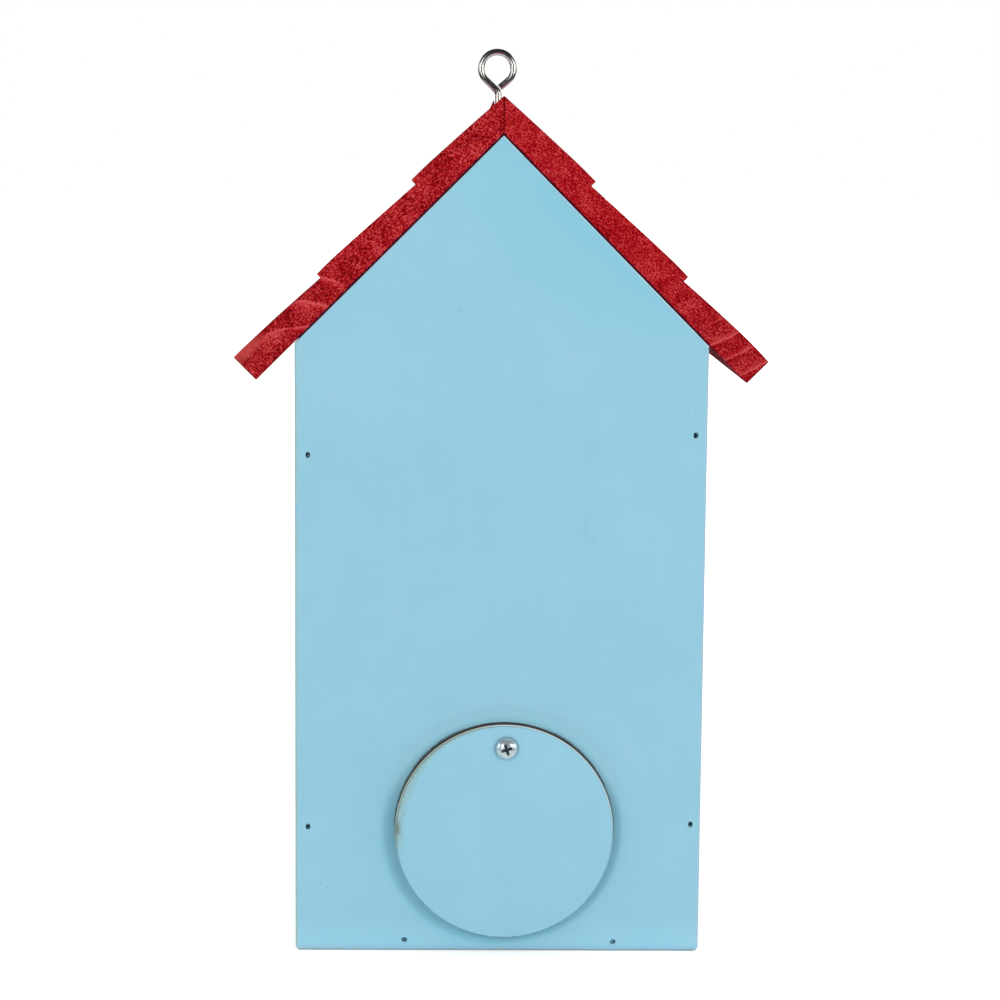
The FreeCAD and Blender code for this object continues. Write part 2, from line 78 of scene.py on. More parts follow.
# ---------------------------------------------------------- node-graph helper
class Graph:
    """Writes one material's nodes. Values may be numbers or sockets."""

    def __init__(self, name):
        self.mat = bpy.data.materials.new(name)
        self.mat.use_nodes = True
        self.tree = self.mat.node_tree
        self.tree.nodes.clear()
        tc = self.add("ShaderNodeTexCoord")
        scale = self.add("ShaderNodeVectorMath", operation="SCALE")
        self.link(tc.outputs["Object"], scale.inputs[0])
        scale.inputs["Scale"].default_value = 1000.0
        shift = self.add("ShaderNodeVectorMath", operation="SUBTRACT")
        self.link(scale.outputs[0], shift.inputs[0])
        shift.inputs[1].default_value = tuple(LIFT)
        self.p = shift.outputs[0]
        self.normal = tc.outputs["Normal"]
        sep = self.add("ShaderNodeSeparateXYZ")
        self.link(self.p, sep.inputs[0])
        self.x, self.y, self.z = sep.outputs

    def add(self, kind, **props):
        node = self.tree.nodes.new(kind)
        for key, value in props.items():
            setattr(node, key, value)
        return node

    def link(self, a, b):
        self.tree.links.new(a, b)

    def put(self, socket, value):
        if isinstance(value, bpy.types.NodeSocket):
            self.link(value, socket)
        elif value is not None:
            if socket.type == "RGBA" and len(value) == 3:
                value = (*value, 1.0)
            socket.default_value = value

    def math(self, op, a, b=None, c=None, clamp=False):
        node = self.add("ShaderNodeMath", operation=op, use_clamp=clamp)
        for socket, value in zip(node.inputs, (a, b, c)):
            self.put(socket, value)
        return node.outputs[0]

    def addm(self, *vals):
        out = vals[0]
        for v in vals[1:]:
            out = self.math("ADD", out, v)
        return out

    def mul(self, *vals):
        out = vals[0]
        for v in vals[1:]:
            out = self.math("MULTIPLY", out, v)
        return out

    def sub(self, a, b):
        return self.math("SUBTRACT", a, b)

    def absm(self, a):
        return self.math("ABSOLUTE", a)

    def vec(self, x, y, z):
        node = self.add("ShaderNodeCombineXYZ")
        for socket, value in zip(node.inputs, (x, y, z)):
            self.put(socket, value)
        return node.outputs[0]

    def scaled(self, vector, x, y, z, ox=0.0, oy=0.0, oz=0.0):
        node = self.add("ShaderNodeVectorMath", operation="MULTIPLY_ADD")
        self.put(node.inputs[0], vector)
        node.inputs[1].default_value = (x, y, z)
        node.inputs[2].default_value = (ox, oy, oz)
        return node.outputs[0]

    def noise(self, vector, scale=1.0, detail=2.0, rough=0.5, distort=0.0, out=0):
        node = self.add("ShaderNodeTexNoise")
        self.put(node.inputs["Vector"], vector)
        node.inputs["Scale"].default_value = scale
        node.inputs["Detail"].default_value = detail
        node.inputs["Roughness"].default_value = rough
        node.inputs["Distortion"].default_value = distort
        return node.outputs[out]

    def cells(self, vector, scale=1.0, feature="F1", out="Distance", randomness=1.0):
        node = self.add("ShaderNodeTexVoronoi", feature=feature)
        self.put(node.inputs["Vector"], vector)
        node.inputs["Scale"].default_value = scale
        node.inputs["Randomness"].default_value = randomness
        return node.outputs[out]

    def smooth(self, value, lo, hi, a=0.0, b=1.0):
        """a below lo, b above hi, smooth between."""
        node = self.add("ShaderNodeMapRange", interpolation_type="SMOOTHSTEP")
        self.put(node.inputs["Value"], value)
        for key, v in (("From Min", lo), ("From Max", hi), ("To Min", a), ("To Max", b)):
            self.put(node.inputs[key], v)
        return node.outputs[0]

    def ramp(self, value, lo, hi, a=0.0, b=1.0):
        node = self.add("ShaderNodeMapRange", interpolation_type="LINEAR", clamp=True)
        self.put(node.inputs["Value"], value)
        for key, v in (("From Min", lo), ("From Max", hi), ("To Min", a), ("To Max", b)):
            self.put(node.inputs[key], v)
        return node.outputs[0]

    def mix(self, factor, a, b, mode="MIX"):
        node = self.add("ShaderNodeMix", data_type="RGBA", blend_type=mode, clamp_factor=True)
        self.put(node.inputs[0], factor)
        self.put(node.inputs[6], a)
        self.put(node.inputs[7], b)
        return node.outputs[2]

    def mixf(self, factor, a, b):
        node = self.add("ShaderNodeMix", data_type="FLOAT", clamp_factor=True)
        self.put(node.inputs[0], factor)
        self.put(node.inputs[2], a)
        self.put(node.inputs[3], b)
        return node.outputs[0]

    def gain(self, colour, factor):
        """colour times a number."""
        node = self.add("ShaderNodeVectorMath", operation="SCALE")
        self.put(node.inputs[0], colour)
        self.put(node.inputs["Scale"], factor)
        return node.outputs[0]

    def bump(self, height_mm, strength=1.0):
        node = self.add("ShaderNodeBump")
        node.inputs["Strength"].default_value = strength
        node.inputs["Distance"].default_value = 0.001
        self.put(node.inputs["Height"], height_mm)
        return node.outputs[0]

    def near(self, px, pz, radius, soft=0.4):
        """1 inside a round spot at (px, pz) in X and Z, fading over soft mm."""
        dx, dz = self.sub(self.x, px), self.sub(self.z, pz)
        d = self.math("SQRT", self.addm(self.mul(dx, dx), self.mul(dz, dz)))
        return self.smooth(d, radius - soft / 2, radius + soft / 2, 1.0, 0.0)

    def finish(self, colour, roughness, normal=None, metallic=0.0, specular=0.5,
               coat=0.0, coat_rough=0.2, sheen=0.0, anisotropic=0.0):
        shader = self.add("ShaderNodeBsdfPrincipled")
        self.put(shader.inputs["Base Color"], colour)
        self.put(shader.inputs["Roughness"], roughness)
        self.put(shader.inputs["Metallic"], metallic)
        shader.inputs["Specular IOR Level"].default_value = specular
        shader.inputs["Coat Weight"].default_value = coat
        shader.inputs["Coat Roughness"].default_value = coat_rough
        shader.inputs["Sheen Weight"].default_value = sheen
        shader.inputs["Anisotropic"].default_value = anisotropic
        if normal is not None:
            self.put(shader.inputs["Normal"], normal)
        out = self.add("ShaderNodeOutputMaterial")
        self.link(shader.outputs[0], out.inputs["Surface"])
        return self.mat


def srgb(r, g, b):
    def one(c):
        c /= 255.0
        return c / 12.92 if c <= 0.04045 else ((c + 0.055) / 1.055) ** 2.4
    return (one(r), one(g), one(b))


def arris(g, planes, width, rag):
    """Near an edge where two of the planes meet: 1 at the edge, 0 by width mm.

    planes are distances inward from each face; the face a point lies on counts
    one, so the sum passes one only near another face too. rag is a ragged number
    about 0 that eats into the line.
    """
    total = None
    for d in planes:
        s = g.smooth(g.addm(d, rag), 0.0, width, 1.0, 0.0)
        total = s if total is None else g.math("ADD", total, s)
    return g.math("SUBTRACT", total, 1.0, clamp=True)


# --------------------------------------------------------------- blue paint
BLUE = srgb(151, 206, 226)
BLUE_DEEP = srgb(147, 204, 225)
BLUE_WARM = srgb(153, 206, 224)


def bare_wood(g, along, p=None):
    """Colour of the pale softwood under the paint; along is the grain axis."""
    p = p or g.p
    stretch = {"x": (0.02, 1, 1), "y": (1, 0.02, 1), "z": (1, 1, 0.02)}[along]
    warp = g.noise(g.scaled(p, *[0.05 if s == 1 else 0.01 for s in stretch]), 1.0, 2.0)
    lines = g.noise(g.scaled(p, *[s * 0.55 for s in stretch]), 1.0, 4.0, 0.6, 0.6)
    t = g.math("FRACT", g.addm(g.mul(lines, 3.0), g.mul(warp, 4.0)))
    band = g.mul(g.smooth(t, 0.0, 0.7), g.smooth(t, 0.86, 1.0, 1.0, 0.0))
    fine = g.noise(g.scaled(p, *[s * 3.0 for s in stretch]), 1.0, 3.0, 0.6)
    c = g.mix(band, srgb(222, 190, 142), srgb(196, 152, 98))
    c = g.mix(g.smooth(fine, 0.45, 0.75), c, srgb(170, 126, 80))
    return c, g.addm(g.mul(band, 0.03), g.mul(fine, 0.05))


def blue_paint(name, along, planes, inner=None, seed=0.0, spots=(), extra=None, glow=None, slot_shade=None, worn=1.0):
    """Matt pale blue paint over a softwood board.

    along: grain axis. planes(g): inward distances from the board's outer faces,
    for the wear at its edges. inner(g): 1 where the face was never painted.
    """
    g = Graph(name)
    p = g.scaled(g.p, 1, 1, 1, seed, seed * 0.7, seed * 1.3)
    k = {"x": (0.018, 1, 1), "y": (1, 0.018, 1), "z": (1, 1, 0.018)}[along]
    k2 = {"x": (0.10, 1, 1), "y": (1, 0.10, 1), "z": (1, 1, 0.10)}[along]

    # the wood telegraphs through: fine lines along the grain, stronger in patches
    lines = g.noise(g.scaled(p, *[v * 1.5 for v in k]), 1.0, 5.0, 0.65, 0.25)
    bands = g.noise(g.scaled(p, *[v * 0.16 for v in k]), 1.0, 3.0, 0.55, 0.8)
    patch = g.smooth(g.noise(g.scaled(p, *[v * 0.055 for v in k2]), 1.0, 2.0), 0.50, 0.72)
    checks = g.noise(g.scaled(p, *[v * 3.2 for v in k2]), 1.0, 2.0, 0.6)
    check = g.mul(g.smooth(checks, 0.60, 0.72), patch)
    # paint film: roller stipple, soft mottling, thicker and thinner areas
    stipple = g.noise(p, 2.6, 2.0, 0.5)
    fine = g.noise(p, 9.0, 2.0, 0.6)
    mottle = g.noise(p, 0.035, 3.0, 0.6)
    mottle2 = g.noise(p, 0.16, 3.0, 0.55)
    # pinholes and nibs: sparse, of different sizes
    d = g.mul(g.cells(p, 0.085), 1.0 / 0.085)
    size = g.smooth(g.cells(p, 0.085, out="Color"), 0.45, 1.0, 0.0, 0.46)
    pin = g.smooth(d, g.mul(size, 0.5), g.mul(size, 1.5), 1.0, 0.0)
    ring = g.mul(g.smooth(d, g.mul(size, 1.2), g.mul(size, 1.9), 0.0, 1.0),
                 g.smooth(d, g.mul(size, 2.0), g.mul(size, 3.2), 1.0, 0.0))
    ring = g.mul(ring, g.smooth(d, 0.0, 2.4, 1.0, 0.0))
    d2 = g.mul(g.cells(g.scaled(p, 1, 1, 1, 37.0, 11.0, 5.0), 0.21), 1.0 / 0.21)
    dust = g.smooth(d2, 0.10, 0.30, 1.0, 0.0)
    for sx, sz, sr in spots:
        pin = g.math("MAXIMUM", pin, g.near(sx, sz, sr, sr * 1.2))

    colour = g.mix(g.smooth(mottle, 0.36, 0.64), BLUE_DEEP, BLUE)
    colour = g.mix(g.smooth(mottle2, 0.45, 0.75, 0.0, 0.55), colour, BLUE_WARM)
    shade = g.addm(0.985, g.mul(g.sub(lines, 0.5), 0.045), g.mul(g.sub(bands, 0.5), 0.030),
                   g.mul(g.sub(stipple, 0.5), 0.018), g.mul(g.sub(fine, 0.5), 0.016))
    shade = g.mul(shade, g.mixf(check, 1.0, 0.93))
    colour = g.gain(colour, shade)
    colour = g.mix(g.mul(pin, 0.62), colour, srgb(62, 104, 118))
    colour = g.mix(g.mul(ring, 0.10), colour, srgb(176, 220, 234))
    colour = g.mix(g.mul(dust, 0.16), colour, srgb(110, 160, 178))
    if extra is not None:
        colour = extra(g, colour)

    # wear: paint rubbed thin at the arrises, bare wood only at the very edge
    rag = g.addm(g.mul(g.sub(g.noise(p, 0.35, 4.0, 0.7), 0.5), 1.1), 0.30)
    rag2 = g.addm(g.mul(g.sub(g.noise(p, 0.9, 5.0, 0.75), 0.5), 1.9), 0.72)
    dist = planes(g)
    thin = arris(g, dist, 1.15, rag)
    rubbed = g.smooth(arris(g, dist, 0.95, rag2), 0.30, 0.75)
    wood, wood_h = bare_wood(g, along)
    colour = g.mix(g.mul(thin, 0.42 * worn), colour, srgb(168, 176, 158))
    colour = g.mix(g.mul(rubbed, 0.85 * worn), colour, wood)
    if glow is not None:
        colour = glow(g, colour)

    # painted shade: dark blue-black down in the brads' slots, patchy near the foot
    if slot_shade is not None:
        colour = g.mix(g.mul(slot_shade(g), g.mixf(g.smooth(g.z, 8.0, 12.0), g.smooth(g.noise(p, 1.3, 2.0, 0.5), 0.44, 0.54), 0.92)),
                       colour, srgb(6, 40, 56))
    height = g.addm(g.mul(lines, 0.030), g.mul(bands, 0.050), g.mul(stipple, 0.012),
                    g.mul(fine, 0.003), g.mul(check, -0.030), g.mul(pin, -0.10),
                    g.mul(ring, 0.02), g.mul(dust, 0.015), g.mul(rubbed, -0.03))
    rough = g.addm(0.50, g.mul(g.sub(mottle2, 0.5), 0.16), g.mul(g.sub(stipple, 0.5), 0.10),
                   g.mul(rubbed, 0.20), g.mul(pin, 0.12))
    if inner is not None:
        mask = inner(g)
        grime = g.smooth(g.noise(g.p, 0.09, 4.0, 0.65), 0.42, 0.70)
        raw = g.mix(g.mul(grime, 0.35), wood, srgb(150, 120, 84))
        # overspray: flecks of blue on the raw wood
        fleck = g.mul(g.smooth(g.noise(g.p, 1.7, 3.0, 0.7), 0.60, 0.66), g.smooth(g.noise(g.p, 0.12, 2.0), 0.48, 0.62))
        raw = g.mix(g.mul(fleck, 0.7), raw, BLUE)
        colour = g.mix(mask, colour, raw)
        height = g.mixf(mask, height, g.mul(wood_h, 1.4))
        rough = g.mixf(mask, rough, 0.78)
    return g.finish(colour, rough, g.bump(height), specular=0.38)


def gable_planes(y_out_sign):
    """Inward distances from a gabled panel's outside, for the wear at its edges."""
    def planes(g):
        ax = g.absm(g.x)
        side = g.sub(HW, ax)
        face = g.sub(Y_BACK, g.y) if y_out_sign > 0 else g.sub(g.y, Y_FRONT)
        return [side, g.z, face]
    return planes


def gable_edge(y_out_sign):
    """The sloping arris under the roof: a pale line of painted highlight, brighter on one side, and painted shade in
    the joint.
    """
    def glow(g, colour):
        slope = g.mul(g.sub(g.sub(APEX, g.z), g.absm(g.x)), C45)
        face = g.sub(Y_BACK, g.y) if y_out_sign > 0 else g.sub(g.y, Y_FRONT)
        broken = g.ramp(g.noise(g.p, 0.20, 3.0, 0.6), 0.30, 0.60, 0.55, 1.0)
        # painted highlight along the rounded arris, stronger on one side
        pale = g.mul(g.smooth(slope, 0.10, 0.20), g.smooth(slope, 0.30, 0.52, 1.0, 0.0), g.smooth(face, 0.6, 0.9, 1.0, 0.0), broken)
        side = g.smooth(g.mul(g.x, y_out_sign), -3.0, 3.0, 0.80, 0.50)
        colour = g.mix(g.mul(pale, side), colour, srgb(236, 242, 252))
        # painted shade: dark in the joint under the roof
        return g.mix(g.mul(g.smooth(slope, 0.04, 0.16, 1.0, 0.0), 0.9), colour, srgb(38, 26, 56))
    return glow


def inside(y_out_sign, holes):
    """Unpainted: the inner face and the walls of the round openings."""
    def inner(g):
        depth = g.sub(Y_BACK, g.y) if y_out_sign > 0 else g.sub(g.y, Y_FRONT)
        mask = g.smooth(depth, 7.6, 7.85)
        for hx, hz, hr, lip in holes:
            # paint wraps a little way in, raggedly
            wrap = g.addm(lip, g.mul(g.sub(g.noise(g.p, 0.35, 4.0, 0.7), 0.5), lip * 1.6))
            hole = g.near(hx, hz, hr + 0.6, 0.4)
            mask = g.mixf(hole, mask, g.smooth(depth, wrap, g.addm(wrap, 0.5)))
        return mask
    return inner


def brad_slots(y_out_sign, holes):
    """1 down inside the slots that the brads' heads were sunk into."""
    def slots(g):
        depth = g.sub(Y_BACK, g.y) if y_out_sign > 0 else g.sub(g.y, Y_FRONT)
        ax = g.absm(g.x)
        mask = g.mul(g.smooth(depth, 0.22, 0.50), g.smooth(depth, 7.0, 7.4, 1.0, 0.0),
                     g.smooth(g.sub(HW, ax), 1.0, 1.4), g.smooth(g.z, 1.0, 1.4),
                     g.smooth(g.mul(g.sub(g.sub(APEX, g.z), ax), C45), 1.2, 1.6))
        for hx, hz, hr, lip in holes:
            mask = g.mul(mask, g.sub(1.0, g.near(hx, hz, hr + 0.6, 0.4)))
        return mask
    return slots


def back_tints_and_painted_shade(g, colour):
    """Tints on the back gable: a slightly darker band beside one slope, and painted light and shade round the disc, at
    the edges and at the foot.
    """
    slope = g.mul(g.sub(g.addm(APEX, g.x), g.z), C45)         # from the -X slope
    band = g.mul(g.smooth(slope, 1.0, 15.0, 1.0, 0.0), g.smooth(g.x, -52.0, -36.0), g.smooth(g.x, -14.0, -6.0, 1.0, 0.0))
    band = g.mul(band, g.ramp(g.noise(g.p, 0.05, 3.0), 0.2, 0.7, 0.5, 1.2))
    colour = g.mix(g.mul(band, 0.42), colour, srgb(128, 194, 218))
    # fine checking that runs down to a brad, and a faint line of grain
    run = g.mul(g.smooth(g.absm(g.addm(g.x, 60.0)), 0.5, 3.4, 1.0, 0.0), g.smooth(g.z, 162.0, 170.0), g.smooth(g.z, 184.0, 200.0, 1.0, 0.0))
    fold = g.mul(g.smooth(g.absm(g.addm(g.x, g.addm(27.5, g.mul(g.noise(g.scaled(g.p, 0.3, 0.3, 0.05), 1.0, 2.0), 2.0)))), 0.3, 3.0, 1.0, 0.0),
                 g.smooth(g.z, 84.0, 96.0), g.smooth(g.z, 166.0, 186.0, 1.0, 0.0))
    fibre = g.noise(g.scaled(g.p, 2.6, 2.6, 0.10), 1.0, 3.0, 0.6)
    colour = g.mix(g.mul(g.addm(run, g.mul(fold, 0.7)), g.smooth(fibre, 0.50, 0.66), 0.16), colour, srgb(96, 150, 170))
    # a darker, greener band along the -X slope
    off = g.mul(g.addm(APEX, g.mul(g.z, -1.0), g.x, g.mul(g.sub(g.noise(g.p, 0.06, 3.0, 0.5), 0.5), 7.0)), C45)
    coat = g.mul(g.addm(g.smooth(off, 20.0, 34.0, 0.46, 0.0), g.smooth(off, 2.0, 10.0, 0.34, 0.0)), g.smooth(g.z, 188.0, 210.0))
    coat = g.math("MAXIMUM", coat, g.mul(g.smooth(off, 3.0, 16.0, 0.95, 0.0), g.smooth(g.z, 214.0, 228.0),
                                         g.smooth(g.z, 236.0, 250.0, 1.0, 0.0)))
    colour = g.mix(coat, colour, srgb(136, 201, 222))
    # a tint round the disc that stands in for the photograph's shading there, which this
    # studio's light doesn't give: fresher above, deeper and greener beside and below, and a
    # broken dark line at the rim. It stays on the panel when the hatch is swung away
    ddx, ddz = g.sub(g.x, DISC_X), g.sub(g.z, DISC_Z)
    reach = g.math("SQRT", g.addm(g.mul(ddx, ddx), g.mul(ddz, ddz)))
    u, v = g.math("DIVIDE", ddx, reach), g.math("DIVIDE", ddz, reach)
    rho = g.sub(reach, DISC_R)
    bare = g.smooth(rho, -0.7, 0.0)          # where the disc lies, the coat is as elsewhere
    above = g.mul(g.smooth(v, 0.15, 0.66), g.smooth(rho, 0.6, 4.8, 1.0, 0.0))
    colour = g.mix(g.mul(above, bare, 0.58), colour, srgb(162, 228, 247))
    wide = g.mixf(g.smooth(u, -0.3, 0.6), 3.8, 6.4)
    beside = g.mul(g.smooth(v, 0.52, 0.12), g.smooth(rho, g.mul(wide, 0.45), wide, 1.0, 0.0))
    colour = g.mix(g.mul(beside, bare, 0.72), colour, srgb(134, 204, 227))
    firm = g.mixf(g.smooth(u, -0.2, 0.5), 3.3, 4.7)
    firm = g.mul(g.smooth(v, 0.40, 0.08), g.smooth(rho, g.mul(firm, 0.72), firm, 1.0, 0.0))
    colour = g.mix(g.mul(firm, bare, 0.17), colour, srgb(104, 162, 182))
    under = g.mul(g.smooth(v, -0.80, -0.96, 0.0, 1.0), g.smooth(rho, 1.2, 2.6, 1.0, 0.0))
    colour = g.mix(g.mul(under, bare, 0.36), colour, srgb(96, 176, 204))
    # painted shade: a broken dark line on the panel at the disc's rim
    rim_shade_line = g.mul(g.smooth(rho, 0.25, 0.55, 1.0, 0.0), g.smooth(g.absm(u), 0.30, 0.55),
                 g.mixf(g.smooth(u, -0.1, 0.1), g.smooth(v, -0.25, 0.05), g.smooth(v, -0.02, 0.06)))
    rim_shade_line = g.mul(rim_shade_line, bare, g.ramp(g.noise(g.p, 0.7, 3.0, 0.6), 0.30, 0.60, 0.40, 0.78))
    colour = g.mix(rim_shade_line, colour, srgb(52, 82, 98))
    # the long edges: paint thin and greenish on one; on the other a lilac line, painted highlight along the rounded
    # edge
    worn = g.mul(g.ramp(g.noise(g.scaled(g.p, 0.5, 0.5, 0.10), 1.0, 3.0, 0.6), 0.30, 0.62, 0.35, 1.0),
                 g.smooth(g.sub(Y_BACK, g.y), 1.0, 2.2, 1.0, 0.0))
    left = g.mul(g.smooth(g.sub(HW, g.x), 0.55, 1.15, 1.0, 0.0), worn, g.smooth(g.z, 40.0, 90.0, 0.78, 0.50))
    colour = g.mix(left, colour, srgb(166, 190, 178))
    # painted highlight: a lilac line along the -X edge
    right = g.mul(g.smooth(g.addm(HW, g.x), 0.35, 0.80, 1.0, 0.0), worn)
    colour = g.mix(g.mul(right, 0.55), colour, srgb(178, 192, 220))
    # painted light: the panel is made lighter towards the foot, most of all in its lowest few mm
    colour = g.gain(colour, g.addm(g.smooth(g.z, 10.0, 70.0, 1.03, 1.0), g.smooth(g.z, 2.0, 12.0, 0.07, 0.0)))
    # the foot: a paler bead of paint, and under it a dark line of painted shade on the downward-facing edge
    bead = g.mul(g.smooth(g.z, 0.3, 0.6), g.smooth(g.z, 0.9, 1.5, 1.0, 0.0))
    colour = g.mix(g.mul(bead, 0.5), colour, srgb(150, 196, 226))
    return g.mix(g.mul(g.smooth(g.z, -0.12, 0.28, 1.0, 0.0), 0.72), colour, srgb(98, 122, 142))


BACK_SPOTS = ((13.5, 207.3, 0.13), (13.0, 206.2, 0.17), (13.9, 205.7, 0.12), (-2.0, 179.4, 0.10), (-8.3, 146.1, 0.10),
              (-8.2, 120.9, 0.10), (-32.4, 141.5, 0.08), (38.3, 88.4, 0.09), (17.4, 105.6, 0.08))

CLEAN_X, CLEAN_Z, CLEAN_R = -1.9, 39.0, 22.5
PIVOT_X, PIVOT_Z = -2.5, 67.3
ENTRY_Z, ENTRY_R = 160.0, 16.0
# round openings: centre, radius, how far paint wraps into them
BACK_HOLES = [(CLEAN_X, CLEAN_Z, CLEAN_R, 1.3), (PIVOT_X, PIVOT_Z, 1.8, 0.3)]
FRONT_HOLES = [(0.0, ENTRY_Z, ENTRY_R, 3.4), (0.0, 126.0, 4.1, 0.6)]

back_mat = blue_paint("blue_paint_back", "z", gable_planes(1),
                      inside(1, BACK_HOLES), seed=0.0, spots=BACK_SPOTS, extra=back_tints_and_painted_shade,
                      glow=gable_edge(1), slot_shade=brad_slots(1, BACK_HOLES))
front_mat = blue_paint("blue_paint_front", "z", gable_planes(-1),
                       inside(-1, FRONT_HOLES), seed=63.0, glow=gable_edge(-1), slot_shade=brad_slots(-1, FRONT_HOLES))


def wall_planes(g):
    ax = g.absm(g.x)
    # the panels' faces don't count, so the board's vertical seams aren't worn away
    return [g.sub(HW, ax), g.z]


def wall_inner(g):
    return g.smooth(g.absm(g.x), HW - 7.9, HW - 7.6, 1.0, 0.0)


side_mat = blue_paint("blue_paint_sides", "z", wall_planes, wall_inner, seed=141.0)
floor_mat = blue_paint("blue_paint_floor", "x", lambda g: [g.z],
                       lambda g: g.smooth(g.z, 7.0, 7.3), seed=217.0)


# ------------------------------------------------------------- red roof boards
def red_roof(name, sign, pith, ring_mm, phase, clear, seed):
    """Red stain on a solid softwood board. sign: +1 for the board on +X.

    pith: where the tree's centre lay, in the board's own section (distance down
    the slope, height off the underside).
    """
    g = Graph(name)
    sx = g.mul(g.x, sign)
    rise = g.sub(g.z, RIDGE_Z)
    s = g.mul(g.sub(sx, rise), C45)
    n = g.mul(g.addm(sx, rise), C45)
    q = g.vec(g.addm(s, seed), g.addm(n, seed * 0.31), g.addm(g.y, seed * 1.7))

    # growth rings about a slightly wandering pith
    wander = g.noise(g.vec(0.0, 0.0, g.mul(g.y, 0.012)), 1.0, 2.0)
    wob = g.noise(g.scaled(q, 0.055, 0.055, 0.008), 1.0, 3.0, 0.5)
    wob2 = g.noise(g.scaled(q, 0.35, 0.35, 0.02), 1.0, 3.0, 0.6)
    ds = g.addm(g.sub(s, pith[0]), g.mul(g.sub(wander, 0.5), 26.0))
    dn = g.addm(g.sub(n, pith[1]), g.mul(g.sub(wob, 0.5), 5.0))
    radius = g.math("SQRT", g.addm(g.mul(ds, ds), g.mul(dn, dn)))
    turns = g.addm(g.mul(radius, 1.0 / ring_mm), phase, g.mul(g.sub(wob, 0.5), 0.5), g.mul(g.sub(wob2, 0.5), 0.10))
    t = g.math("FRACT", turns)
    late = g.mul(g.smooth(t, 0.58, 0.86), g.smooth(t, 0.93, 0.98, 1.0, 0.0))
    line = g.mul(g.smooth(t, 0.84, 0.90), g.smooth(t, 0.93, 0.98, 1.0, 0.0))
    early = g.smooth(t, 0.0, 0.50, 1.0, 0.0)
    show = g.smooth(g.noise(g.scaled(q, 0.030, 0.05, 0.01), 1.0, 2.0), 0.34, 0.58)
    show = g.math("MAXIMUM", show, 0.75)
    show = g.mul(show, g.smooth(s, clear[0] - 1.0, clear[0] + 1.0, 0.12, 1.0),
                 g.smooth(s, clear[1] - 2.0, clear[1] + 2.0, 1.0, 0.12))

    # fibres: cells on the sawn ends, streaks along Y on the faces
    speck = g.noise(g.scaled(q, 1.75, 1.75, 0.06), 1.0, 3.0, 0.62)
    fibre = g.noise(g.scaled(q, 4.2, 4.2, 0.10), 1.0, 2.0, 0.60)
    pore = g.cells(g.scaled(q, 1.65, 1.65, 0.07), 1.0)
    pores = g.smooth(pore, 0.10, 0.40, 1.0, 0.0)
    blotch = g.noise(g.scaled(q, 0.22, 0.16, 0.012), 1.0, 4.0, 0.6)
    streak = g.noise(g.scaled(q, 0.5, 0.5, 0.010), 1.0, 4.0, 0.6)

    nrm = g.add("ShaderNodeSeparateXYZ")
    g.link(g.normal, nrm.inputs[0])
    end = g.smooth(g.absm(nrm.outputs[1]), 0.45, 0.85)

    # dense latewood takes less stain: smoother and paler, with hardly any pits
    dense = g.mul(late, show)
    calm = g.sub(1.0, g.mul(dense, 0.55))
    bite = 1.0 if sign > 0 else 0.86
    tone = g.addm(g.mul(g.sub(speck, 0.5), g.mixf(end, 1.5, 4.0 * bite), calm),
                  g.mul(g.sub(fibre, 0.5), g.mixf(end, 0.7, 2.4 * bite), calm),
                  g.mul(g.sub(blotch, 0.5), g.mixf(end, 1.0, 1.3)), g.mul(g.sub(streak, 0.5), g.mixf(end, 1.1, 0.1)), 0.52)
    tone = g.addm(tone, g.mul(dense, g.mixf(end, 0.16, 0.30)), g.mul(line, show, g.mixf(end, 0.05, 0.34)),
                  g.mul(early, g.mixf(end, -0.16, -0.10)), g.mul(pores, calm, g.mixf(end, -0.16, -0.50)))
    deep, mid, light = (srgb(82, 0, 4) if sign > 0 else srgb(98, 0, 6)), srgb(168, 2, 16), srgb(208, 80, 82)
    colour = g.mix(g.ramp(tone, -0.20, 0.52), deep, mid)
    colour = g.mix(g.ramp(tone, 0.52, 1.25), colour, light)
    if sign > 0:
        tip = g.mul(g.smooth(g.addm(s, g.mul(g.sub(g.noise(q, 0.35, 3.0, 0.6), 0.5), 6.0)), 96.0, 101.0),
                    g.smooth(g.addm(n, g.mul(g.sub(g.noise(q, 0.30, 3.0, 0.6), 0.5), 5.0)), 5.6, 8.4), end)
        colour = g.mix(g.mul(tip, 0.50), colour, srgb(208, 84, 80))
    orange = g.mul(g.smooth(g.noise(g.scaled(q, 0.30, 0.30, 0.02, 9.0), 1.0, 3.0, 0.6), 0.60, 0.75), 0.30)
    colour = g.mix(orange, colour, srgb(184, 44, 22))

    # edges: the stain pools dark at every arris; long arrises are rubbed lighter
    y_front, y_back = g.sub(g.y, ROOF_LO.y), g.sub(ROOF_HI.y, g.y)
    eave = g.sub(ROOF_LEN, s)

    def under_top(s0, s1, n0, n1, k, h):
        line_n = g.ramp(s, s0, s1, n0, n1)
        d = g.sub(g.mul(g.sub(s, s0), 1.0 / (s1 - s0)), k)
        d = g.mul(d, g.mixf(g.math("GREATER_THAN", d, 0.0), 1.0 / k, 1.0 / (1.0 - k)))
        return g.sub(g.addm(line_n, h, g.mul(d, d, -h)), n)

    top1, top2, top3 = (under_top(*c) for c in COURSES[int(sign)])
    in2, in3 = g.math("GREATER_THAN", s, STEP_1 + 0.01), g.math("GREATER_THAN", s, STEP_2 + 0.01)
    top = g.mixf(in3, g.mixf(in2, top1, top2), top3)
    rag = g.addm(g.mul(g.sub(g.noise(q, 0.55, 4.0, 0.7), 0.5), 0.9), 0.10)
    dark_edge = arris(g, [y_front, y_back, eave, top], 0.62, rag)
    colour = g.mix(g.mul(dark_edge, 0.72), colour, srgb(66, 18, 16))
